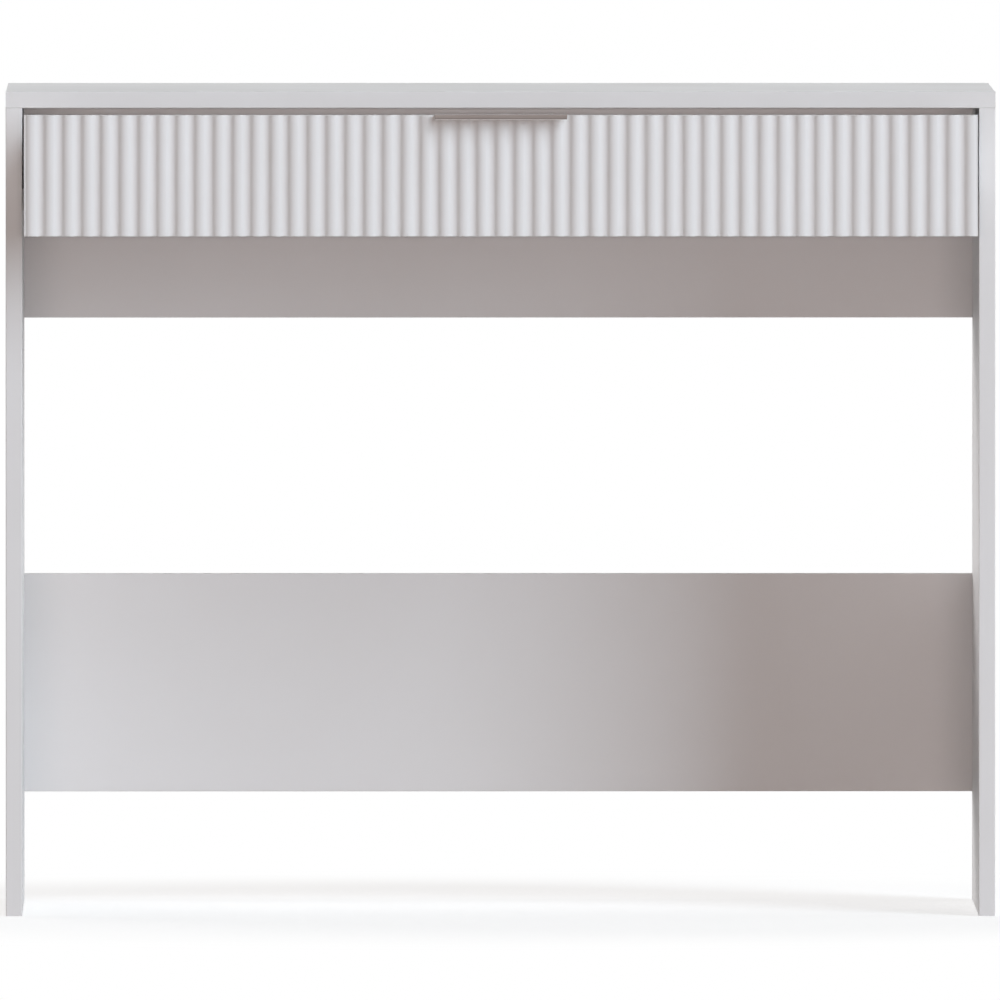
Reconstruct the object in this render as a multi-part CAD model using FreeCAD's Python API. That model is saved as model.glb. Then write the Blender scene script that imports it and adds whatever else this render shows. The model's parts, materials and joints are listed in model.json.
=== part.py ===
import FreeCAD, Part
import math
import os

# A white dressing table with one fluted drawer, in millimetres.
# X runs to the right, Y to the back and Z up. The pieces are drawn in cabinet places, where y = 0 is the
# plane of the cabinet's front edges and the drawer is shut, and are moved to their rest places when saved.

Vec = FreeCAD.Vector
X_AXIS = Vec(1, 0, 0)
Y_AXIS = Vec(0, 1, 0)
Z_AXIS = Vec(0, 0, 1)
ORIGIN = Vec(0, 0, 0)
NEAR = 1e-6

# Cabinet
WIDTH = 900.0
DEPTH = 400.0
HEIGHT = 750.0
BOARD = 15.0
BAND = 1.0
BAND_ROUND = 0.8
BACK_HEIGHT = 200.0
LOWER_BACK_Z = 100.0

# Drawer front, a board with waves milled into its face
FRONT_GAP = 2.0
FRONT_Z = 620.0
FRONT_HEIGHT = 110.0
FRONT_THICK = 18.0
FLUTES = 51
FLUTE_PITCH = 17.07
FLUTE_SLOPE = math.radians(40.0)
RIDGE_SHARE = 0.55
FRONT_CORNER = 2.5

# Drawer box
DRAWER_OUT = 70.0
DRAWER_TRAVEL = 225.0
BOX_Z = 646.0
BOX_HEIGHT = 72.0
BOX_LENGTH = 300.0
BOX_ROUND = 1.0
BOTTOM_THICK = 3.0
GROOVE_LIFT = 10.0
GROOVE_WIDE = 3.3
GROOVE_DEEP = 7.0
FRONT_GROOVE_DEEP = 6.0
GROOVE_ROOM = 0.5

# Handle, a bent strip that hooks over the top edge of the drawer front and is let into it
HANDLE_LENGTH = 120.0
HANDLE_THICK = 1.5
HANDLE_SINK = 1.0
HANDLE_ROOM = 0.2
HANDLE_REACH = 12.0
HANDLE_LIP = 4.3
HANDLE_FLANGE = 26.0
HANDLE_CHAMFER = 0.6
HANDLE_SCREW_X = 40.0
HANDLE_SCREW_DROP = 18.0

# Roller runners, in the gap between a drawer side and the cabinet side
RUNNER_SPACE = 12.5
RUNNER_LENGTH = 300.0
RUNNER_SETBACK = 20.0
SHEET = 1.2
ROLLER_R = 8.5
ROLLER_INSET = 12.0
ROLLER_FROM = 3.6
ROLLER_TO = 8.8
ROLLER_RIM = 2.0
ROLLER_HUB_R = 4.2
ROLLER_DISH = 1.2
ROLLER_EASE = 0.5
FRONT_ROLLER_Z = 653.0
PIN_R = 2.0
PIN_RUN = 0.05
PIN_HEAD_R = 3.75
CABINET_PIN_HEAD = 1.0
DRAWER_PIN_HEAD = 0.6
PIN_SHOULDER_R = 3.5
SIDE_PLAY = 0.3
ROLL_GAP = 0.3
FLANGE_GAP = 0.5
CHANNEL_LIP = 2.0
CHANNEL_LIP_AT = 9.2
CHANNEL_NOTCH = 23.0
TRACK_FROM = 2.0
UNDER_LEG = 14.0
STOP_HEIGHT = 2.5

# Fasteners
CAM_R = 7.5
CAM_DEEP = 12.0
CAM_REACH = 34.0
CAM_CLEAR = 0.1
CAM_SLOT_LONG = 10.0
CAM_SLOT_WIDE = 1.8
CAM_SLOT_DEEP = 2.0
CAM_MOUTH_R = 3.6
BOLT_DEEP = 11.0
BOLT_R = 2.5
BOLT_NECK_R = 1.8
BOLT_NECK_LONG = 4.0
BOLT_HEAD_R = 3.0
BOLT_HEAD_LONG = 2.5
BOLT_HEAD_PAST = 2.2
BOLT_HOLE_R = 4.0
DOWEL_R = 4.0
DOWEL_IN_FACE = 10.0
DOWEL_IN_EDGE = 20.0
DOWEL_CHAMFER = 1.0
HOLE_CLEAR = 0.1
SCREW_R = 1.7
SCREW_DEEP = 12.0
SCREW_HEAD_R = 3.5
SCREW_POINT = 2.0
HEAD_CROWN = 0.8
CROSS_LONG = 3.2
CROSS_WIDE = 0.7
CROSS_DEEP = 1.8
CABINET_SCREW_HEAD = 1.0
DRAWER_SCREW_HEAD = 0.8
HANDLE_SCREW_HEAD = 2.2
CONFIRMAT_HEAD_R = 5.0
CONFIRMAT_HEAD = 4.0
CONFIRMAT_R = 3.5
CONFIRMAT_LONG = 50.0
CONFIRMAT_TIP_R = 2.5
CONFIRMAT_POINT = 3.0
HEX_KEY = 4.0
HEX_DEEP = 3.0

# Places of the fasteners
TOP_CAM_Y = (70.0, 330.0)
TOP_DOWEL_Y = (110.0, 290.0)
TOP_DOWEL_X = 250.0
BACK_CAM_INSET = 50.0
BOX_CAM_Z = (673.0, 701.0)
BOX_DOWEL_Z = 687.0
RUNNER_SCREW_STEPS = (40.0, 150.0, 260.0)
CABINET_SCREW_Z = 652.0
DRAWER_SCREW_Z = 651.5
BOTTOM_SCREW_X = (-300.0, -100.0, 100.0, 300.0)

# Places that follow from the dimensions
FRONT_MOST = DRAWER_OUT + HANDLE_REACH
FRONT_PLANE_Y = (FRONT_MOST - DEPTH) / 2
INNER_X = WIDTH / 2 - BOARD
UNDER_TOP = HEIGHT - BOARD
BACK_FACE_Y = DEPTH - BOARD
BACK_MID_Y = DEPTH - BOARD / 2
UPPER_BACK_Z = UNDER_TOP - BACK_HEIGHT
SIDE_MID_X = WIDTH / 2 - BOARD / 2
FRONT_HALF = INNER_X - FRONT_GAP
FRONT_TOP = FRONT_Z + FRONT_HEIGHT
HANDLE_SEAT = FRONT_TOP - HANDLE_SINK
HANDLE_TOP = HANDLE_SEAT + HANDLE_THICK
BOX_OUTER_X = INNER_X - RUNNER_SPACE
BOX_INNER_X = BOX_OUTER_X - BOARD
BOX_MID_X = BOX_OUTER_X - BOARD / 2
BOX_TOP = BOX_Z + BOX_HEIGHT
BOX_END = FRONT_THICK + BOX_LENGTH
BOX_BACK_MID_Y = BOX_END - BOARD / 2
BOTTOM_Z = BOX_Z + GROOVE_LIFT
BOTTOM_TOP = BOTTOM_Z + BOTTOM_THICK
TRACK_UNDER = FRONT_ROLLER_Z + ROLLER_R + ROLL_GAP
CHANNEL_TOP = TRACK_UNDER - FLANGE_GAP - SHEET
REAR_ROLLER_Z = CHANNEL_TOP - ROLL_GAP - ROLLER_R
CHANNEL_FLOOR = REAR_ROLLER_Z - ROLLER_R - ROLL_GAP
RUNNER_END = RUNNER_SETBACK + RUNNER_LENGTH
FRONT_ROLLER_Y = RUNNER_SETBACK + ROLLER_INSET
REAR_ROLLER_Y = BOX_END - ROLLER_INSET


def box(x_range, y_range, z_range):
    """A block between two planes on each axis."""
    low = Vec(x_range[0], y_range[0], z_range[0])
    high = Vec(x_range[1], y_range[1], z_range[1])
    size = high.sub(low)
    return Part.makeBox(size.x, size.y, size.z, low)


def rod(radius, start, end):
    """A round bar or drill between two points."""
    along = end.sub(start)
    return Part.makeCylinder(radius, along.Length, start, along)


def turned(outline, base, axis):
    """A turned piece: (radius, height) points spun about an axis that starts at base."""
    points = [Vec(radius, 0, height) for radius, height in outline]
    face = Part.Face(Part.makePolygon(points + points[:1]))
    solid = face.revolve(ORIGIN, Z_AXIS, 360)
    solid.Placement = FreeCAD.Placement(base, FreeCAD.Rotation(Z_AXIS, axis))
    return solid


def mirrored(shape):
    """The same piece on the other side of the table."""
    return shape.mirror(ORIGIN, X_AXIS)


def both_sides(shapes):
    """The left pieces and their mirror images."""
    return shapes + [mirrored(shape) for shape in shapes]


def save(name, shapes, drawer=False):
    """Write one node at its rest place. A list of solids becomes one group."""
    group = shapes if isinstance(shapes, list) else [shapes]
    shape = group[0] if len(group) == 1 else Part.makeCompound(group)
    shape = shape.copy()
    shape.translate(Vec(0, FRONT_PLANE_Y - (DRAWER_OUT if drawer else 0), 0))
    for solid in shape.Solids:
        assert solid.isValid() and solid.Volume > 0, name
    shape.exportStep("parts/%s.step" % name)


# Boards and edge bands

def rounded_strip(low, high, thin, outer):
    """An edge band with its two long outer edges eased."""
    strip = box(*zip(low, high))
    long_axis = max(range(3), key=lambda axis: high[axis] - low[axis])
    edges = []
    for edge in strip.Edges:
        ends = [vertex.Point for vertex in edge.Vertexes]
        on_outside = all(abs(point[thin] - outer) < NEAR for point in ends)
        runs_along = abs(ends[0][long_axis] - ends[1][long_axis]) > NEAR
        if on_outside and runs_along:
            edges.append(edge)
    return strip.makeFillet(BAND_ROUND, edges)


def banded_board(x_range, y_range, z_range, bands):
    """A board and the bands on its named edges, each peeled off the block that is left."""
    low = [x_range[0], y_range[0], z_range[0]]
    high = [x_range[1], y_range[1], z_range[1]]
    strips = []
    for band in bands:
        axis = "xyz".index(band[1])
        strip_low = list(low)
        strip_high = list(high)
        if band[0] == "+":
            outer = high[axis]
            high[axis] -= BAND
            strip_low[axis] = high[axis]
        else:
            outer = low[axis]
            low[axis] += BAND
            strip_high[axis] = low[axis]
        strips.append(rounded_strip(strip_low, strip_high, axis, outer))
    return box(*zip(low, high)), strips


# Knock-down fittings

def cross_recess(face, out, side, long, wide, deep):
    """The cross that takes a screwdriver, sunk below face. out points out of the piece, side across it."""
    bars = []
    for along in (side, out.cross(side)):
        across = out.cross(along)
        corner = along * (long / 2) + across * (wide / 2)
        other = along * (long / 2) - across * (wide / 2)
        loop = [face + corner, face + other, face - corner, face - other]
        bar = Part.Face(Part.makePolygon(loop + loop[:1]))
        bars.append(bar.extrude(out * -deep))
    return bars


class CamJoint:
    """A bolt in one board's face, held by a cam in the other board. seat is where the bolt meets the face,
    run points along the bolt into the other board, and mouth points out of the face that the cam is in."""

    def __init__(self, seat, run, mouth):
        self.seat = seat
        self.run = run
        self.mouth = mouth
        self.centre = seat + run * CAM_REACH
        self.face = self.centre + mouth * (BOARD / 2)
        self.floor = self.face - mouth * CAM_DEEP

    def face_hole(self):
        return rod(BOLT_R + HOLE_CLEAR, self.seat, self.seat - self.run * BOLT_DEEP)

    def edge_holes(self):
        return [rod(BOLT_HOLE_R, self.seat, self.centre), rod(CAM_R, self.floor, self.face)]

    def bolt(self):
        head_end = CAM_REACH + BOLT_HEAD_PAST
        head_start = head_end - BOLT_HEAD_LONG
        neck_start = head_start - BOLT_NECK_LONG
        outline = [
            (0, -BOLT_DEEP), (BOLT_R, -BOLT_DEEP), (BOLT_R, neck_start), (BOLT_NECK_R, neck_start),
            (BOLT_NECK_R, head_start), (BOLT_HEAD_R, head_start), (BOLT_HEAD_R, head_end), (0, head_end),
        ]
        return turned(outline, self.seat, self.run)

    def cam(self):
        barrel = rod(CAM_R - CAM_CLEAR, self.floor, self.face)
        way_in = rod(CAM_MOUTH_R, self.centre + self.run * CAM_MOUTH_R, self.centre - self.run * CAM_R)
        cross = cross_recess(self.face, self.mouth, self.run, CAM_SLOT_LONG, CAM_SLOT_WIDE, CAM_SLOT_DEEP)
        return barrel.cut([way_in] + cross)


class DowelJoint:
    """A wooden dowel from a board's face, at seat, into the edge of another along run."""

    def __init__(self, seat, run):
        self.seat = seat
        self.run = run

    def face_hole(self):
        return rod(DOWEL_R + HOLE_CLEAR, self.seat, self.seat - self.run * DOWEL_IN_FACE)

    def edge_hole(self):
        return rod(DOWEL_R + HOLE_CLEAR, self.seat, self.seat + self.run * (DOWEL_IN_EDGE + DOWEL_CHAMFER))

    def dowel(self):
        low = -DOWEL_IN_FACE
        high = DOWEL_IN_EDGE
        small = DOWEL_R - DOWEL_CHAMFER
        outline = [
            (0, low), (small, low), (DOWEL_R, low + DOWEL_CHAMFER),
            (DOWEL_R, high - DOWEL_CHAMFER), (small, high), (0, high),
        ]
        return turned(outline, self.seat, self.run)


class Screw:
    """A screw whose head rests on a surface at seat, with its shank along run."""

    def __init__(self, seat, run, head, sheet, deep=SCREW_DEEP):
        self.seat = seat
        self.run = run
        self.head = head
        self.reach = sheet + deep

    def hole(self):
        return rod(SCREW_R + HOLE_CLEAR, self.seat, self.seat + self.run * self.reach)

    def screw(self):
        outline = [
            (0, -self.head), (SCREW_HEAD_R * HEAD_CROWN, -self.head), (SCREW_HEAD_R, 0), (SCREW_R, 0),
            (SCREW_R, self.reach - SCREW_POINT), (0, self.reach),
        ]
        side = self.run.cross(Z_AXIS if abs(self.run.z) < NEAR else X_AXIS)
        crown = self.seat - self.run * self.head
        cross = cross_recess(crown, -self.run, side, CROSS_LONG, CROSS_WIDE, CROSS_DEEP)
        return turned(outline, self.seat, self.run).cut(cross)


def confirmat(seat, run):
    """A coarse screw for board edges, with its head flush in the face and a hexagon socket."""
    outline = [
        (0, 0), (CONFIRMAT_HEAD_R, 0), (CONFIRMAT_HEAD_R, CONFIRMAT_HEAD),
        (CONFIRMAT_R, CONFIRMAT_HEAD), (CONFIRMAT_R, BOARD), (CONFIRMAT_TIP_R, BOARD),
        (CONFIRMAT_TIP_R, CONFIRMAT_LONG - CONFIRMAT_POINT), (0, CONFIRMAT_LONG),
    ]
    corner_r = HEX_KEY / math.sqrt(3)
    first = run.cross(Z_AXIS) * corner_r
    corners = [seat + FreeCAD.Rotation(run, 60 * number).multVec(first) for number in range(6)]
    socket = Part.Face(Part.makePolygon(corners + corners[:1])).extrude(run * HEX_DEEP)
    return turned(outline, seat, run).cut(socket)


def confirmat_hole(seat, run):
    """A stepped hole for the screw, with room round the head, the shank and the tip."""
    steps = [
        (CONFIRMAT_HEAD_R, 0, CONFIRMAT_HEAD),
        (CONFIRMAT_R, CONFIRMAT_HEAD, BOARD),
        (CONFIRMAT_TIP_R, BOARD, CONFIRMAT_LONG),
    ]
    holes = []
    for radius, start, end in steps:
        holes.append(rod(radius + HOLE_CLEAR, seat + run * start, seat + run * end))
    return holes


# Cabinet

def make_cabinet():
    top_cams = []
    top_dowels = []
    for y in TOP_CAM_Y:
        top_cams.append(CamJoint(Vec(-SIDE_MID_X, y, UNDER_TOP), -Z_AXIS, X_AXIS))
    for y in TOP_DOWEL_Y:
        top_dowels.append(DowelJoint(Vec(-SIDE_MID_X, y, UNDER_TOP), -Z_AXIS))
    back_top_dowel = DowelJoint(Vec(-TOP_DOWEL_X, BACK_MID_Y, UNDER_TOP), -Z_AXIS)

    back_cams = {}
    back_dowels = {}
    for name, low in (("upper", UPPER_BACK_Z), ("lower", LOWER_BACK_Z)):
        heights = (low + BACK_CAM_INSET, low + BACK_HEIGHT - BACK_CAM_INSET)
        seats = [Vec(-INNER_X, BACK_MID_Y, z) for z in heights]
        back_cams[name] = [CamJoint(seat, X_AXIS, Y_AXIS) for seat in seats]
        back_dowels[name] = DowelJoint(Vec(-INNER_X, BACK_MID_Y, low + BACK_HEIGHT / 2), X_AXIS)
    all_back_cams = back_cams["upper"] + back_cams["lower"]

    make_top(top_cams, top_dowels + [back_top_dowel])
    make_sides(top_cams, top_dowels, all_back_cams, list(back_dowels.values()))
    make_back("upper", UPPER_BACK_Z, ["-z"], back_cams, back_dowels, back_top_dowel)
    make_back("lower", LOWER_BACK_Z, ["+z", "-z"], back_cams, back_dowels, None)

    save("top_cam_bolts", both_sides([joint.bolt() for joint in top_cams]))
    save("top_cam_locks", both_sides([joint.cam() for joint in top_cams]))
    save("top_dowels", both_sides([joint.dowel() for joint in top_dowels + [back_top_dowel]]))
    save("back_cam_bolts", both_sides([joint.bolt() for joint in all_back_cams]))
    save("back_cam_locks", both_sides([joint.cam() for joint in all_back_cams]))
    save("back_dowels", both_sides([joint.dowel() for joint in back_dowels.values()]))


def make_top(cams, dowels):
    board, bands = banded_board(
        (-WIDTH / 2, WIDTH / 2), (0, DEPTH), (UNDER_TOP, HEIGHT), ["-y", "+y", "-x", "+x"])
    holes = [joint.face_hole() for joint in cams + dowels]
    save("top_panel", board.cut(both_sides(holes)))
    save("top_edge_bands", bands)


def make_sides(top_cams, top_dowels, back_cams, back_dowels):
    board, bands = banded_board(
        (-WIDTH / 2, -INNER_X), (0, DEPTH), (0, UNDER_TOP), ["-y", "+y", "-z"])
    holes = []
    for joint in top_cams:
        holes += joint.edge_holes()
    for joint in top_dowels:
        holes.append(joint.edge_hole())
    for joint in back_cams + back_dowels:
        holes.append(joint.face_hole())
    for screw in cabinet_screws():
        holes.append(screw.hole())
    board = board.cut(holes)
    save("left_side_panel", board)
    save("right_side_panel", mirrored(board))
    save("left_side_edge_bands", bands)
    save("right_side_edge_bands", [mirrored(band) for band in bands])


def make_back(name, low, banded, cams, dowels, top_dowel):
    """A board across the back, between the sides, with its cams in the rear face."""
    board, bands = banded_board(
        (-INNER_X, INNER_X), (BACK_FACE_Y, DEPTH), (low, low + BACK_HEIGHT), banded)
    holes = [dowels[name].edge_hole()]
    for joint in cams[name]:
        holes += joint.edge_holes()
    if top_dowel:
        holes.append(top_dowel.edge_hole())
    save(name + "_back_panel", board.cut(both_sides(holes)))
    save(name + "_back_edge_bands", bands)


# Runners

def runner_point(across, y, z):
    """A place by its distance from the left cabinet side."""
    return Vec(across - INNER_X, y, z)


def bent_sheet(line, thick, start, length, side):
    """A strip folded along a line of (across, z) points and run back from start. Outer bends are round."""
    wire = Part.makePolygon([runner_point(across, start, z) for across, z in line])
    face = wire.makeOffset2D(side * thick, 0, True, True)
    return face.extrude(Y_AXIS * length)


def cabinet_screws():
    screws = []
    for step in RUNNER_SCREW_STEPS:
        seat = runner_point(SHEET, RUNNER_SETBACK + step, CABINET_SCREW_Z)
        screws.append(Screw(seat, -X_AXIS, CABINET_SCREW_HEAD, SHEET))
    return screws


def drawer_screws():
    screws = []
    for step in RUNNER_SCREW_STEPS:
        seat = runner_point(RUNNER_SPACE - SHEET, FRONT_THICK + step - ROLLER_INSET, DRAWER_SCREW_Z)
        screws.append(Screw(seat, X_AXIS, DRAWER_SCREW_HEAD, SHEET))
    return screws


def cabinet_runner():
    """A channel that opens towards the drawer, with its upper flange cut away over the front roller."""
    line = [
        (CHANNEL_LIP_AT, CHANNEL_FLOOR + CHANNEL_LIP), (CHANNEL_LIP_AT, CHANNEL_FLOOR),
        (SHEET, CHANNEL_FLOOR), (SHEET, CHANNEL_TOP), (ROLLER_TO, CHANNEL_TOP),
    ]
    channel = bent_sheet(line, SHEET, RUNNER_SETBACK, RUNNER_LENGTH, 1)
    inside = (SHEET - INNER_X, CHANNEL_LIP_AT - INNER_X)
    travel_end = REAR_ROLLER_Y - DRAWER_TRAVEL
    stop_height = CHANNEL_FLOOR + STOP_HEIGHT
    contact = math.sqrt(ROLLER_R ** 2 - (REAR_ROLLER_Z - stop_height) ** 2)
    stop_y = travel_end - contact - ROLL_GAP
    stop = box((ROLLER_FROM - INNER_X, ROLLER_TO - INNER_X), (stop_y - SHEET, stop_y),
               (CHANNEL_FLOOR, stop_height))
    end_tab = box(inside, (RUNNER_END - SHEET, RUNNER_END), (CHANNEL_FLOOR, REAR_ROLLER_Z))
    notch = box((SHEET - INNER_X, RUNNER_SPACE - INNER_X),
                (RUNNER_SETBACK, RUNNER_SETBACK + CHANNEL_NOTCH), (CHANNEL_TOP, TRACK_UNDER))
    pin_hole = rod(PIN_R + HOLE_CLEAR, runner_point(0, FRONT_ROLLER_Y, FRONT_ROLLER_Z),
                   runner_point(SHEET, FRONT_ROLLER_Y, FRONT_ROLLER_Z))
    holes = [screw.hole() for screw in cabinet_screws()]
    return channel.fuse([stop, end_tab]).removeSplitter().cut([notch, pin_hole] + holes)


def drawer_runner():
    """A folded strip: a track that rides on the front roller, a web on the drawer side and a leg under it."""
    line = [
        (TRACK_FROM, TRACK_UNDER + SHEET), (RUNNER_SPACE, TRACK_UNDER + SHEET),
        (RUNNER_SPACE, BOX_Z), (RUNNER_SPACE + UNDER_LEG, BOX_Z),
    ]
    strip = bent_sheet(line, SHEET, FRONT_THICK, BOX_LENGTH, -1)
    pin_hole = rod(PIN_R + HOLE_CLEAR, runner_point(RUNNER_SPACE - SHEET, REAR_ROLLER_Y, REAR_ROLLER_Z),
                   runner_point(RUNNER_SPACE, REAR_ROLLER_Y, REAR_ROLLER_Z))
    holes = [screw.hole() for screw in drawer_screws()]
    return strip.cut([pin_hole] + holes)


def roller(y, z):
    """A plastic wheel with a hub and a rim, dished between them on both faces."""
    bore = PIN_R + PIN_RUN
    wide = ROLLER_TO - ROLLER_FROM
    rim = ROLLER_R - ROLLER_RIM
    outline = [
        (bore, 0), (ROLLER_HUB_R, 0), (ROLLER_HUB_R, ROLLER_DISH), (rim, ROLLER_DISH), (rim, 0),
        (ROLLER_R - ROLLER_EASE, 0), (ROLLER_R, ROLLER_EASE), (ROLLER_R, wide - ROLLER_EASE),
        (ROLLER_R - ROLLER_EASE, wide), (rim, wide), (rim, wide - ROLLER_DISH),
        (ROLLER_HUB_R, wide - ROLLER_DISH), (ROLLER_HUB_R, wide), (bore, wide),
    ]
    return turned(outline, runner_point(ROLLER_FROM, y, z), X_AXIS)


def roller_pin(y, z, web, foot, run, head_thick):
    """A shouldered rivet: foot is the web's far face, web the near one, and the head holds the roller."""
    near_play = abs((ROLLER_FROM if run.x > 0 else ROLLER_TO) - web) - SIDE_PLAY
    far_play = abs((ROLLER_TO if run.x > 0 else ROLLER_FROM) - web) + SIDE_PLAY
    outline = [
        (0, -abs(web - foot)), (PIN_R, -abs(web - foot)), (PIN_R, 0), (PIN_SHOULDER_R, 0),
        (PIN_SHOULDER_R, near_play), (PIN_R, near_play), (PIN_R, far_play), (PIN_HEAD_R, far_play),
        (PIN_HEAD_R * HEAD_CROWN, far_play + head_thick), (0, far_play + head_thick),
    ]
    return turned(outline, runner_point(web, y, z), run)


def make_runners():
    left_cabinet = cabinet_runner()
    left_drawer = drawer_runner()
    save("left_cabinet_runner", left_cabinet)
    save("right_cabinet_runner", mirrored(left_cabinet))
    save("left_drawer_runner", left_drawer, drawer=True)
    save("right_drawer_runner", mirrored(left_drawer), drawer=True)

    front_roller = roller(FRONT_ROLLER_Y, FRONT_ROLLER_Z)
    rear_roller = roller(REAR_ROLLER_Y, REAR_ROLLER_Z)
    save("left_front_roller", front_roller)
    save("right_front_roller", mirrored(front_roller))
    save("left_rear_roller", rear_roller, drawer=True)
    save("right_rear_roller", mirrored(rear_roller), drawer=True)

    front_pin = roller_pin(FRONT_ROLLER_Y, FRONT_ROLLER_Z, SHEET, 0, X_AXIS, CABINET_PIN_HEAD)
    rear_pin = roller_pin(
        REAR_ROLLER_Y, REAR_ROLLER_Z, RUNNER_SPACE - SHEET, RUNNER_SPACE, -X_AXIS, DRAWER_PIN_HEAD)
    save("cabinet_roller_pins", both_sides([front_pin]))
    save("drawer_roller_pins", both_sides([rear_pin]), drawer=True)

    save("cabinet_runner_screws", both_sides([screw.screw() for screw in cabinet_screws()]))
    save("drawer_runner_screws", both_sides([screw.screw() for screw in drawer_screws()]), drawer=True)


# Drawer

def flute_face():
    """The section of the front, seen from above: ridges and hollows of tangent arcs, with a flat back."""
    ridge_half = RIDGE_SHARE * FLUTE_PITCH / 2
    hollow_half = FLUTE_PITCH / 2 - ridge_half
    ridge_drop = ridge_half * math.tan(FLUTE_SLOPE / 2)
    hollow_drop = hollow_half * math.tan(FLUTE_SLOPE / 2)
    flute_deep = ridge_drop + hollow_drop
    edges = []
    for number in range(FLUTES):
        crest = (number - (FLUTES - 1) / 2) * FLUTE_PITCH
        start = Vec(crest - ridge_half, ridge_drop, 0)
        end = Vec(crest + ridge_half, ridge_drop, 0)
        if edges:
            bottom = Vec(crest - FLUTE_PITCH / 2, flute_deep, 0)
            edges.append(Part.Arc(edges[-1].Vertexes[-1].Point, bottom, start).toShape())
        edges.append(Part.Arc(start, Vec(crest, 0, 0), end).toShape())
    left = edges[0].Vertexes[0].Point
    right = edges[-1].Vertexes[-1].Point
    outer = FLUTES * FLUTE_PITCH / 2
    corners = [
        right, Vec(outer, right.y, 0), Vec(outer, FRONT_THICK, 0), Vec(-outer, FRONT_THICK, 0),
        Vec(-outer, left.y, 0), left,
    ]
    for start, end in zip(corners, corners[1:]):
        edges.append(Part.LineSegment(start, end).toShape())
    return Part.Face(Part.Wire(edges))


def fluted_board():
    """The flutes run the full height, and the two ends are cut and eased."""
    wave = flute_face().extrude(Z_AXIS * FRONT_HEIGHT)
    wave.translate(Vec(0, 0, FRONT_Z))
    blank = box((-FRONT_HALF, FRONT_HALF), (0, FRONT_THICK), (FRONT_Z, FRONT_TOP))
    corners = []
    for edge in blank.Edges:
        ends = [vertex.Point for vertex in edge.Vertexes]
        if all(abs(point.y) < NEAR for point in ends) and abs(ends[0].z - ends[1].z) > NEAR:
            corners.append(edge)
    return wave.common(blank.makeFillet(FRONT_CORNER, corners))


def handle_notch():
    """The shallow seat across the front's top edge that takes the handle's plate."""
    half = HANDLE_LENGTH / 2 + HANDLE_ROOM
    return box((-half, half), (-HANDLE_REACH, FRONT_THICK + HANDLE_REACH), (HANDLE_SEAT, HANDLE_TOP))


def handle_screws():
    screws = []
    for x in (-HANDLE_SCREW_X, HANDLE_SCREW_X):
        seat = Vec(x, FRONT_THICK + HANDLE_THICK, FRONT_TOP - HANDLE_SCREW_DROP)
        screws.append(Screw(seat, -Y_AXIS, HANDLE_SCREW_HEAD, HANDLE_THICK))
    return screws


def handle():
    """A strip bent over the top edge: a flange behind, a plate on top and a short chamfered lip in front."""
    lip_y = HANDLE_THICK - HANDLE_REACH
    lip_end = HANDLE_TOP - HANDLE_LIP
    line = [
        (FRONT_THICK, HANDLE_TOP - HANDLE_FLANGE), (FRONT_THICK, HANDLE_SEAT),
        (lip_y, HANDLE_SEAT), (lip_y, lip_end),
    ]
    start_x = -HANDLE_LENGTH / 2
    wire = Part.makePolygon([Vec(start_x, y, z) for y, z in line])
    strip = wire.makeOffset2D(HANDLE_THICK, 0, True, True).extrude(X_AXIS * HANDLE_LENGTH)
    lip_edges = []
    for edge in strip.Edges:
        ends = [vertex.Point for vertex in edge.Vertexes]
        on_lip = all(abs(point.z - lip_end) < NEAR for point in ends)
        if on_lip and abs(ends[0].x - ends[1].x) > NEAR:
            lip_edges.append(edge)
    strip = strip.makeChamfer(HANDLE_CHAMFER, lip_edges)
    return strip.cut([screw.hole() for screw in handle_screws()])


def bottom_screws():
    screws = []
    for x in BOTTOM_SCREW_X:
        seat = Vec(x, BOX_BACK_MID_Y, BOTTOM_Z)
        screws.append(Screw(seat, Z_AXIS, DRAWER_SCREW_HEAD, BOTTOM_THICK))
    return screws


def drawer_side(cams, dowel, confirmat_seats):
    """The left side of the box: grooved for the bottom, with its top edges eased."""
    side = box((-BOX_OUTER_X, -BOX_INNER_X), (FRONT_THICK, BOX_END), (BOX_Z, BOX_TOP))
    top_edges = []
    for edge in side.Edges:
        ends = [vertex.Point for vertex in edge.Vertexes]
        along = abs(ends[0].y - ends[1].y) > NEAR
        if along and all(abs(point.z - BOX_TOP) < NEAR for point in ends):
            top_edges.append(edge)
    side = side.makeFillet(BOX_ROUND, top_edges)
    groove = box((-BOX_INNER_X - GROOVE_DEEP, -BOX_INNER_X), (FRONT_THICK, BOX_END),
                 (BOTTOM_Z, BOTTOM_Z + GROOVE_WIDE))
    holes = [groove, dowel.edge_hole()]
    for joint in cams:
        holes += joint.edge_holes()
    for seat in confirmat_seats:
        holes += confirmat_hole(seat, X_AXIS)
    for screw in drawer_screws():
        holes.append(screw.hole())
    return side.cut(holes)


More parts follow.
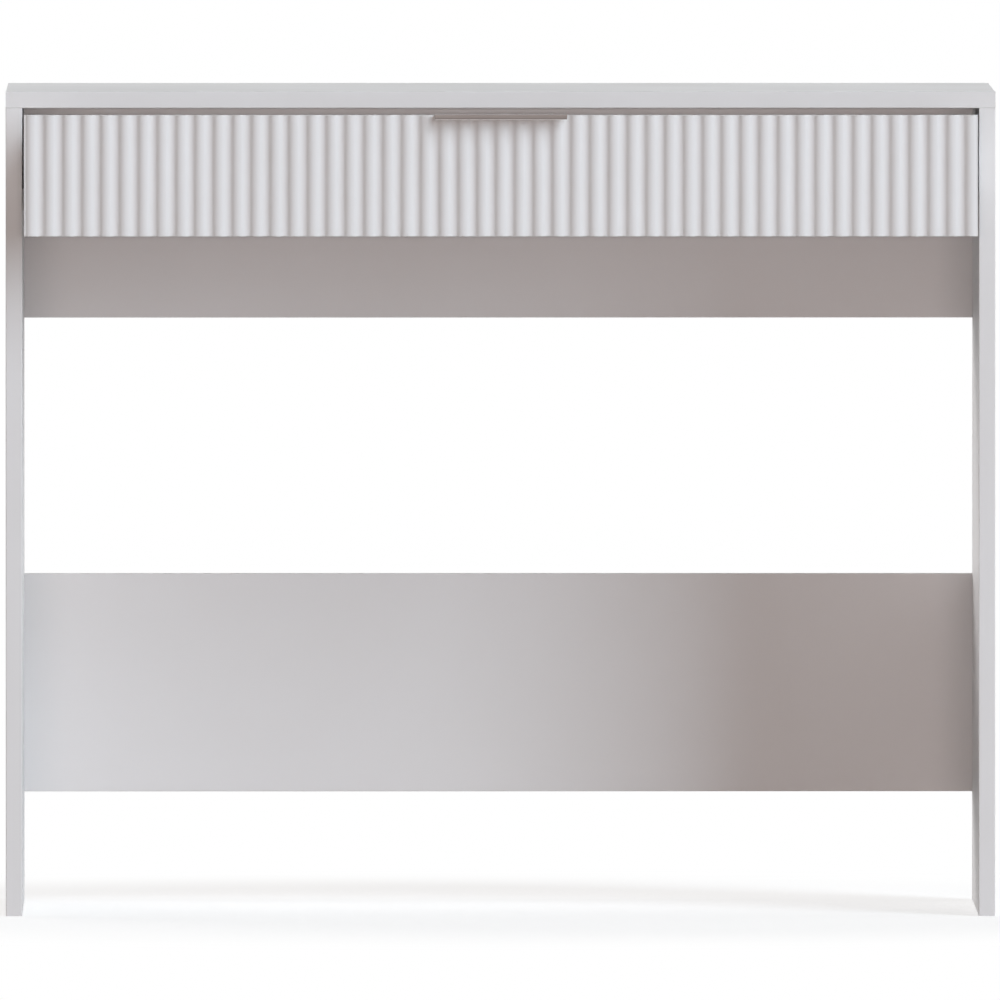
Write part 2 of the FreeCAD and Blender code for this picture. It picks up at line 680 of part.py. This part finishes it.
def make_drawer():
    cams = [CamJoint(Vec(-BOX_MID_X, FRONT_THICK, z), Y_AXIS, -X_AXIS) for z in BOX_CAM_Z]
    dowel = DowelJoint(Vec(-BOX_MID_X, FRONT_THICK, BOX_DOWEL_Z), Y_AXIS)
    confirmat_seats = [Vec(-BOX_OUTER_X, BOX_BACK_MID_Y, z) for z in BOX_CAM_Z]

    groove = box((-BOX_INNER_X - GROOVE_DEEP, BOX_INNER_X + GROOVE_DEEP),
                 (FRONT_THICK - FRONT_GROOVE_DEEP, FRONT_THICK), (BOTTOM_Z, BOTTOM_Z + GROOVE_WIDE))
    front_holes = both_sides([joint.face_hole() for joint in cams] + [dowel.face_hole()])
    front_holes += [screw.hole() for screw in handle_screws()]
    save("drawer_front", fluted_board().cut([groove, handle_notch()] + front_holes), drawer=True)

    side = drawer_side(cams, dowel, confirmat_seats)
    save("drawer_left_side", side, drawer=True)
    save("drawer_right_side", mirrored(side), drawer=True)

    back = box((-BOX_INNER_X, BOX_INNER_X), (BOX_END - BOARD, BOX_END), (BOTTOM_TOP, BOX_TOP))
    back_holes = [screw.hole() for screw in bottom_screws()]
    for seat in confirmat_seats:
        back_holes += both_sides(confirmat_hole(seat, X_AXIS))
    save("drawer_back", back.cut(back_holes), drawer=True)

    reach = BOX_INNER_X + GROOVE_DEEP - GROOVE_ROOM
    bottom = box((-reach, reach), (FRONT_THICK - FRONT_GROOVE_DEEP + GROOVE_ROOM, BOX_END),
                 (BOTTOM_Z, BOTTOM_TOP))
    save("drawer_bottom", bottom.cut([screw.hole() for screw in bottom_screws()]), drawer=True)

    save("handle", handle(), drawer=True)
    save("handle_screws", [screw.screw() for screw in handle_screws()], drawer=True)
    save("drawer_cam_bolts", both_sides([joint.bolt() for joint in cams]), drawer=True)
    save("drawer_cam_locks", both_sides([joint.cam() for joint in cams]), drawer=True)
    save("drawer_dowels", both_sides([dowel.dowel()]), drawer=True)
    confirmats = [confirmat(seat, X_AXIS) for seat in confirmat_seats]
    save("drawer_back_screws", both_sides(confirmats), drawer=True)
    save("drawer_bottom_screws", [screw.screw() for screw in bottom_screws()], drawer=True)


os.makedirs("parts", exist_ok=True)
make_cabinet()
make_runners()
make_drawer()
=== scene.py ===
import bpy
import json
import math
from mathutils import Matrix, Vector


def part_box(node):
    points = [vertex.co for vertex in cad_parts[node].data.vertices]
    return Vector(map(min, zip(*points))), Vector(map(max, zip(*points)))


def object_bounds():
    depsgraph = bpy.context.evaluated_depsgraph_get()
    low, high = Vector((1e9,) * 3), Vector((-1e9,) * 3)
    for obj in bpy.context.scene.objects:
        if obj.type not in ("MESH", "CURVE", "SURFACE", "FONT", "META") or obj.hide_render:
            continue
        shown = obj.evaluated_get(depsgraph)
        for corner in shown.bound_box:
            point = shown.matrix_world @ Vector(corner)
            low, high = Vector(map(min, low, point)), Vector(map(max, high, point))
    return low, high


# Looks of a white dressing table with one fluted drawer, in metres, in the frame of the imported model:
# +X to the right, +Y to the back, +Z up, with the floor at z = 0.

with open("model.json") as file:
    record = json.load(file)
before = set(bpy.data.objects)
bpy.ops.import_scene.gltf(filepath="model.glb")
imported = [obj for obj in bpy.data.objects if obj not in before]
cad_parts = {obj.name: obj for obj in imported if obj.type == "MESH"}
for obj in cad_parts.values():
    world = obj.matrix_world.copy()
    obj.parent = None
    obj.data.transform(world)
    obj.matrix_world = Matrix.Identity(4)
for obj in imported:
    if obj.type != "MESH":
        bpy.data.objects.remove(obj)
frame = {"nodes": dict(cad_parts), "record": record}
cad_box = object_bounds()

MM = 0.001

# Places of the camera and the lamps are in degrees: azimuth 0 is in front of the table and 90 to its right.

# Camera, from the photograph: a long lens, slightly left of and above the middle of the cabinet's front
PHOTO_WIDTH_PX = 1000
PX_PER_METRE = 1099.6
AIM_X = -0.5 * MM
AIM_Z = 378.6 * MM
CAMERA_AZIMUTH = -0.289
CAMERA_ELEVATION = 1.655
HALF_ANGLE = math.radians(0.62)
SENSOR_MM = 36.0

# Lamps, with their width and height in degrees too, as the table sees them. The key comes from the upper
# right. The fill is a thin strip beside the camera, so it reaches into the gap over the drawer front and its
# shadows stay out of sight. The other two light the sides and the back.
LAMP_DISTANCE = 40.0
LAMPS = (
    dict(name="key", irradiance=2.42, colour=(0.89, 1.0, 1.09),
         azimuth=40.6, elevation=28.0, wide=22.4, tall=56.0),
    dict(name="fill", irradiance=0.61, colour=(1.19, 1.0, 0.955),
         azimuth=-0.3, elevation=1.66, wide=12.0, tall=0.6),
    dict(name="side", irradiance=1.0, colour=(1.02, 1.0, 1.0),
         azimuth=112.0, elevation=10.0, wide=40.0, tall=20.0),
    dict(name="rear", irradiance=2.15, colour=(1.02, 1.0, 1.0),
         azimuth=218.0, elevation=11.0, wide=40.0, tall=20.0),
)

# Sky, as linear colours: what it lights the table with, and what the eye sees
HORIZON_COLOUR = (0.115, 0.099, 0.086)
ZENITH_COLOUR = (0.175, 0.149, 0.130)
BACKDROP_COLOUR = (1.0, 1.0, 1.0)

# Floor: the colour that it throws back at the table, and how it looks. Near the table its glow and its lit
# grey add up to about white and darken in the shadow, and further from the middle it fades to plain white.
FLOOR_REACH = 6.0
FLOOR_DROP = 0.2 * MM
FLOOR_COLOUR = (0.32, 0.292, 0.278)
FLOOR_GLOW = 0.70
FLOOR_GREY = (0.42, 0.42, 0.42)
FADE_START = 0.50
FADE_END = 0.95

# Board colours, as linear values, and the gloss of all that isn't metal
WHITE = (0.82, 0.817, 0.82)
WHITE_WORN = (0.80, 0.795, 0.795)
SATIN_GLOSS = 0.10

# Front of the handle's lip: a painted highlight along its lower edge and a painted line of shade above it
HANDLE_LIP = 4.3 * MM
HIGHLIGHT_HEIGHT = 0.6 * MM
SHADE_LINE_HEIGHT = 0.8 * MM
PAINT_DEPTH = 1.2 * MM
PAINT_FADE = 0.08 * MM

# Rounds on the sharp edges of boards and of the handle
EASED = {
    "top_panel": 0.12 * MM,
    "left_side_panel": 0.12 * MM,
    "right_side_panel": 0.12 * MM,
    "upper_back_panel": 0.12 * MM,
    "lower_back_panel": 0.12 * MM,
    "drawer_left_side": 0.3 * MM,
    "drawer_right_side": 0.3 * MM,
    "drawer_back": 0.4 * MM,
    "drawer_front": 0.6 * MM,
    "handle": 0.15 * MM,
}
WELD = 0.005 * MM
EASE_ANGLE = math.radians(50.0)
EASE_STEPS = 2

# Most values of a noise texture lie between these
NOISE_LOW = 0.3
NOISE_HIGH = 0.7

# Sockets of a mix node for colours, by number, because they share their names with others of that node
MIX_FACTOR = 0
MIX_FIRST = 6
MIX_SECOND = 7
MIX_RESULT = 2


# Node helpers

class Nodes:
    """A node tree under construction."""

    def __init__(self, tree):
        self.tree = tree

    def node(self, kind, inputs=None, **settings):
        """A new node, with some inputs linked to other nodes' sockets or set to plain values."""
        made = self.tree.nodes.new(kind)
        for name, value in settings.items():
            setattr(made, name, value)
        for socket, value in (inputs or {}).items():
            self.feed(made.inputs[socket], value)
        return made

    def feed(self, socket, value):
        """Links a socket to another one, or sets its value."""
        if isinstance(value, bpy.types.NodeSocket):
            self.tree.links.new(value, socket)
        elif socket.type == "RGBA":
            socket.default_value = (*value, 1.0)
        else:
            socket.default_value = value

    def maths(self, operation, first, second):
        """The result of an operation on two numbers."""
        return self.node("ShaderNodeMath", {0: first, 1: second}, operation=operation).outputs["Value"]

    def mixed(self, factor, first, second):
        """A colour between two colours."""
        inputs = {MIX_FACTOR: factor, MIX_FIRST: first, MIX_SECOND: second}
        return self.node("ShaderNodeMix", inputs, data_type="RGBA").outputs[MIX_RESULT]

    def blended(self, factor, first, second):
        """A shader between two shaders."""
        return self.node("ShaderNodeMixShader", {0: factor, 1: first, 2: second}).outputs["Shader"]

    def ranged(self, value, low, high, start=NOISE_LOW, end=NOISE_HIGH, **settings):
        """Maps start..end, by default the range of a noise texture, to low..high."""
        inputs = {"Value": value, "From Min": start, "From Max": end, "To Min": low, "To Max": high}
        return self.node("ShaderNodeMapRange", inputs, **settings).outputs["Result"]

    def seen(self):
        """1 for rays that show the background itself: from the camera, in reflections and through glass."""
        path = self.node("ShaderNodeLightPath").outputs
        direct = self.maths("MAXIMUM", path["Is Camera Ray"], path["Is Glossy Ray"])
        return self.maths("MAXIMUM", direct, path["Is Transmission Ray"])


class Finish(Nodes):
    """A material under construction: a principled shader and the textures that feed it."""

    def __init__(self, name, metallic=0.0):
        self.material = bpy.data.materials.new(name)
        self.material.use_nodes = True
        super().__init__(self.material.node_tree)
        self.shader = self.tree.nodes["Principled BSDF"]
        self.set("Metallic", metallic)
        if not metallic:
            self.set("Specular IOR Level", SATIN_GLOSS)
        self.place = self.node("ShaderNodeTexCoord").outputs["Object"]
        self.normal = None

    def set(self, socket, value):
        """Feeds a socket of the shader."""
        self.feed(self.shader.inputs[socket], value)

    def noise(self, size, detail=2.0, roughness=0.5, stretch=(1.0, 1.0, 1.0)):
        """Cloudy values from 0 to 1, with blobs about size metres across, longer where stretch is small."""
        place = self.node("ShaderNodeMapping", {"Vector": self.place, "Scale": stretch}).outputs["Vector"]
        inputs = {"Vector": place, "Scale": 1.0 / size, "Detail": detail, "Roughness": roughness}
        return self.node("ShaderNodeTexNoise", inputs).outputs["Fac"]

    def tinted(self, texture, first, second):
        """Colours the surface from one colour to another, by a texture."""
        self.set("Base Color", self.mixed(self.ranged(texture, low=0.0, high=1.0), first, second))

    def roughened(self, texture, low, high):
        """Makes the surface duller from low to high, by a texture."""
        self.set("Roughness", self.ranged(texture, low, high))

    def bumped(self, texture, depth):
        """Gives the surface a relief of that depth, on top of the relief that it has."""
        bump = self.node("ShaderNodeBump", {"Strength": 1.0, "Distance": depth, "Height": texture})
        if self.normal:
            self.feed(bump.inputs["Normal"], self.normal)
        self.normal = bump.outputs["Normal"]
        self.set("Normal", self.normal)


# Materials

def melamine(name):
    """Pressed white melamine: a fine pearl grain and slow changes of sheen."""
    finish = Finish(name)
    clouds = finish.noise(size=210 * MM, detail=3.0)
    grain = finish.noise(size=0.7 * MM, detail=3.0)
    finish.tinted(clouds, WHITE, WHITE_WORN)
    finish.roughened(clouds, low=0.37, high=0.47)
    finish.bumped(grain, depth=0.012 * MM)
    return finish.material


def edge_band(name):
    """A plastic edge strip, a little glossier and smoother than the board."""
    finish = Finish(name)
    clouds = finish.noise(size=90 * MM)
    grain = finish.noise(size=0.5 * MM)
    finish.tinted(clouds, WHITE, WHITE_WORN)
    finish.roughened(clouds, low=0.32, high=0.41)
    finish.bumped(grain, depth=0.006 * MM)
    return finish.material


def lacquer(name):
    """Sprayed satin lacquer on milled fibreboard, with faint orange peel."""
    finish = Finish(name)
    clouds = finish.noise(size=120 * MM, detail=3.0)
    peel = finish.noise(size=2.4 * MM, detail=1.0)
    fine = finish.noise(size=0.4 * MM)
    finish.tinted(clouds, WHITE, WHITE_WORN)
    finish.roughened(clouds, low=0.36, high=0.44)
    finish.bumped(peel, depth=0.02 * MM)
    finish.bumped(fine, depth=0.004 * MM)
    return finish.material


def foil(name):
    """The paper foil round the drawer box, embossed with a linen mesh."""
    finish = Finish(name)
    clouds = finish.noise(size=150 * MM, detail=3.0)
    threads = finish.noise(size=0.6 * MM, detail=1.0, stretch=(1.0, 0.12, 1.0))
    crossing = finish.noise(size=0.6 * MM, detail=1.0, stretch=(0.12, 1.0, 0.12))
    finish.tinted(clouds, WHITE, WHITE_WORN)
    finish.roughened(clouds, low=0.45, high=0.56)
    finish.bumped(threads, depth=0.012 * MM)
    finish.bumped(crossing, depth=0.012 * MM)
    return finish.material


def hardboard(name):
    """The drawer bottom: thin pressed fibre under white lacquer."""
    finish = Finish(name)
    clouds = finish.noise(size=180 * MM, detail=3.0)
    fibres = finish.noise(size=1.6 * MM, detail=4.0, roughness=0.7)
    finish.tinted(clouds, WHITE, WHITE_WORN)
    finish.roughened(clouds, low=0.40, high=0.52)
    finish.bumped(fibres, depth=0.01 * MM)
    return finish.material


def brushed_metal(name):
    """The handle: grey metal brushed along its length, with a painted line of shade and a painted highlight
    on its lip.
    """
    light = (0.340, 0.292, 0.274)
    dark = (0.255, 0.217, 0.203)
    # Painted shade: the dark line above the lip's lower edge
    painted_shade = (0.19, 0.16, 0.15)
    # Painted highlight: the bright strip along the lip's lower edge
    bright = (0.58, 0.54, 0.53)
    finish = Finish(name, metallic=1.0)
    strokes = finish.noise(size=0.25 * MM, detail=3.0, stretch=(0.008, 1.0, 1.0))
    stains = finish.noise(size=30 * MM)
    colour = finish.mixed(finish.ranged(strokes, low=0.0, high=1.0), light, dark)

    low_corner, high_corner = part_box("handle")
    highlight_top = high_corner.z - HANDLE_LIP + HIGHLIGHT_HEIGHT
    shade_line_top = highlight_top + SHADE_LINE_HEIGHT
    place = finish.node("ShaderNodeSeparateXYZ", {"Vector": finish.place}).outputs
    ahead = finish.maths("LESS_THAN", place["Y"], low_corner.y + PAINT_DEPTH)
    # Paints the line of shade, then the highlight under it, onto the front face of the lip
    for top, painted_strip in ((shade_line_top, painted_shade), (highlight_top, bright)):
        below = finish.ranged(place["Z"], low=1.0, high=0.0, start=top - PAINT_FADE, end=top + PAINT_FADE)
        colour = finish.mixed(finish.maths("MULTIPLY", below, ahead), colour, painted_strip)
    finish.set("Base Color", colour)
    finish.roughened(stains, low=0.30, high=0.40)
    finish.bumped(strokes, depth=0.004 * MM)
    return finish.material


def epoxy_steel(name):
    """White epoxy powder coat on folded steel, with a fine leathery skin."""
    pale = (0.75, 0.75, 0.74)
    yellowed = (0.70, 0.70, 0.685)
    finish = Finish(name)
    clouds = finish.noise(size=50 * MM)
    skin = finish.noise(size=1.1 * MM, detail=1.0)
    finish.tinted(clouds, pale, yellowed)
    finish.roughened(clouds, low=0.28, high=0.40)
    finish.bumped(skin, depth=0.02 * MM)
    return finish.material


def zinc_plate(name):
    """Bright zinc on screws, pins and bolts, clouded by its passivation."""
    bright = (0.62, 0.63, 0.65)
    clouded = (0.50, 0.50, 0.49)
    finish = Finish(name, metallic=1.0)
    clouds = finish.noise(size=2.2 * MM, detail=3.0)
    grain = finish.noise(size=0.3 * MM)
    finish.tinted(clouds, bright, clouded)
    finish.roughened(clouds, low=0.24, high=0.40)
    finish.bumped(grain, depth=0.006 * MM)
    return finish.material


def die_cast(name):
    """Plain die-cast zinc of the cams, dull and slightly pitted."""
    light = (0.46, 0.46, 0.47)
    dark = (0.36, 0.36, 0.365)
    finish = Finish(name, metallic=1.0)
    clouds = finish.noise(size=3.0 * MM, detail=4.0)
    pits = finish.noise(size=0.5 * MM, detail=3.0)
    finish.tinted(clouds, light, dark)
    finish.roughened(pits, low=0.42, high=0.60)
    finish.bumped(pits, depth=0.03 * MM)
    return finish.material


def nylon(name):
    """Black moulded nylon with a rubbed sheen."""
    black = (0.016, 0.016, 0.017)
    rubbed = (0.032, 0.032, 0.033)
    finish = Finish(name)
    rub = finish.noise(size=1.5 * MM, detail=3.0)
    grain = finish.noise(size=0.35 * MM)
    finish.tinted(rub, black, rubbed)
    finish.roughened(rub, low=0.34, high=0.52)
    finish.bumped(grain, depth=0.008 * MM)
    return finish.material


def beech(name):
    """Turned beech with fine pores and short flecks."""
    pale = (0.64, 0.45, 0.27)
    dark = (0.48, 0.31, 0.17)
    finish = Finish(name)
    pores = finish.noise(size=1.6 * MM, detail=3.0)
    flecks = finish.noise(size=0.6 * MM)
    finish.tinted(pores, pale, dark)
    finish.roughened(flecks, low=0.50, high=0.70)
    finish.bumped(flecks, depth=0.02 * MM)
    return finish.material


MATERIAL_MAKERS = {
    "white_board": melamine,
    "white_edge": edge_band,
    "white_front": lacquer,
    "white_box": foil,
    "white_hdf": hardboard,
    "aluminium": brushed_metal,
    "white_steel": epoxy_steel,
    "zinc_steel": zinc_plate,
    "cast_zinc": die_cast,
    "black_plastic": nylon,
    "beech": beech,
}


# Dressing of the solids

def dress_nodes():
    """Gives every solid the material of its slot in the record."""
    materials = {slot: make(slot + "_finish") for slot, make in MATERIAL_MAKERS.items()}
    for part in frame["record"]["subparts"]:
        node = frame["nodes"][part["node"]]
        node.data.materials.clear()
        node.data.materials.append(materials[part["material_slot"]])


def ease_edges():
    """Small rounds on sharp edges, which also open a fine line between a board and its edge band."""
    for name, width in EASED.items():
        node = frame["nodes"][name]
        weld = node.modifiers.new("weld", "WELD")
        weld.merge_threshold = WELD
        ease = node.modifiers.new("ease", "BEVEL")
        ease.width = width
        ease.segments = EASE_STEPS
        ease.limit_method = "ANGLE"
        ease.angle_limit = EASE_ANGLE
        ease.miter_outer = "MITER_ARC"
        ease.use_clamp_overlap = True
        node.modifiers.new("normals", "WEIGHTED_NORMAL")


# Stage

def make_world():
    """White to the eye, and a warm horizon under a paler sky to the surfaces that it lights."""
    world = bpy.data.worlds.new("studio")
    bpy.context.scene.world = world
    world.use_nodes = True
    world.node_tree.nodes.clear()
    sky = Nodes(world.node_tree)
    direction = sky.node("ShaderNodeTexCoord").outputs["Generated"]
    height = sky.node("ShaderNodeSeparateXYZ", {"Vector": direction}).outputs["Z"]
    light = sky.mixed(height, HORIZON_COLOUR, ZENITH_COLOUR)
    colour = sky.mixed(sky.seen(), light, BACKDROP_COLOUR)
    background = sky.node("ShaderNodeBackground", {"Color": colour}).outputs["Background"]
    sky.node("ShaderNodeOutputWorld", {"Surface": background})


def floor_material():
    """A diffuse floor to the table, and to the eye a white one that darkens in the table's shadow."""
    material = bpy.data.materials.new("pale_floor")
    material.use_nodes = True
    material.node_tree.nodes.clear()
    floor = Nodes(material.node_tree)
    bounce = floor.node("ShaderNodeBsdfDiffuse", {"Color": FLOOR_COLOUR}).outputs["BSDF"]

    glow = floor.node("ShaderNodeEmission", {"Strength": FLOOR_GLOW}).outputs["Emission"]
    shaded = floor.node("ShaderNodeBsdfDiffuse", {"Color": FLOOR_GREY}).outputs["BSDF"]
    near_look = floor.node("ShaderNodeAddShader", {0: glow, 1: shaded}).outputs["Shader"]
    far_look = floor.node("ShaderNodeEmission", {"Strength": 1.0}).outputs["Emission"]
    place = floor.node("ShaderNodeTexCoord").outputs["Object"]
    distance = floor.node("ShaderNodeVectorMath", {0: place}, operation="LENGTH").outputs["Value"]
    fade = floor.ranged(distance, low=0.0, high=1.0, start=FADE_START, end=FADE_END,
                        interpolation_type="SMOOTHSTEP")
    look = floor.blended(fade, near_look, far_look)

    surface = floor.blended(floor.seen(), bounce, look)
    floor.node("ShaderNodeOutputMaterial", {"Surface": surface})
    return material


def make_floor():
    """A plain pale square, just under the feet."""
    mesh = bpy.data.meshes.new("floor")
    corners = [(-1, -1), (1, -1), (1, 1), (-1, 1)]
    points = [(x * FLOOR_REACH, y * FLOOR_REACH, -FLOOR_DROP) for x, y in corners]
    mesh.from_pydata(points, [], [(0, 1, 2, 3)])
    mesh.materials.append(floor_material())
    floor = bpy.data.objects.new("floor", mesh)
    bpy.context.scene.collection.objects.link(floor)


def stand_off(thing, target, azimuth, elevation, distance):
    """Puts a lamp or a camera at that distance from its target, facing it."""
    around = math.radians(azimuth)
    up = math.radians(elevation)
    direction = Vector((
        math.sin(around) * math.cos(up),
        -math.cos(around) * math.cos(up),
        math.sin(up),
    ))
    thing.location = target + direction * distance
    thing.rotation_euler = (-direction).to_track_quat("-Z", "Y").to_euler()
    bpy.context.scene.collection.objects.link(thing)


def lamp_length(angle):
    """The length that fills that angle at the lamps' distance."""
    return 2 * LAMP_DISTANCE * math.tan(math.radians(angle) / 2)


def make_lamp(name, irradiance, colour, azimuth, elevation, wide, tall):
    """A rectangular lamp that gives the table that irradiance and shows in no reflection."""
    lamp = bpy.data.lights.new(name, "AREA")
    lamp.shape = "RECTANGLE"
    lamp.size = lamp_length(wide)
    lamp.size_y = lamp_length(tall)
    lamp.energy = irradiance * math.pi * LAMP_DISTANCE ** 2
    lamp.color = colour
    softbox = bpy.data.objects.new(name, lamp)
    softbox.visible_camera = False
    softbox.visible_glossy = False
    middle = (cad_box[0] + cad_box[1]) / 2
    stand_off(softbox, middle, azimuth, elevation, LAMP_DISTANCE)


def make_camera():
    """Far off with a long lens, so that the cabinet's front has the photograph's scale and place."""
    front_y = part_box("top_edge_bands")[0].y
    aim = Vector((AIM_X, front_y, AIM_Z))
    frame_width = PHOTO_WIDTH_PX / PX_PER_METRE
    distance = frame_width / 2 / math.tan(HALF_ANGLE)
    lens = bpy.data.cameras.new("camera")
    lens.sensor_width = SENSOR_MM
    lens.lens = SENSOR_MM / 2 / math.tan(HALF_ANGLE)
    lens.clip_end = 2 * distance
    camera = bpy.data.objects.new("camera", lens)
    stand_off(camera, aim, CAMERA_AZIMUTH, CAMERA_ELEVATION, distance)
    bpy.context.scene.camera = camera


dress_nodes()
ease_edges()
make_world()
make_floor()
for settings in LAMPS:
    make_lamp(**settings)
make_camera()
bpy.context.scene.view_settings.view_transform = "Standard"
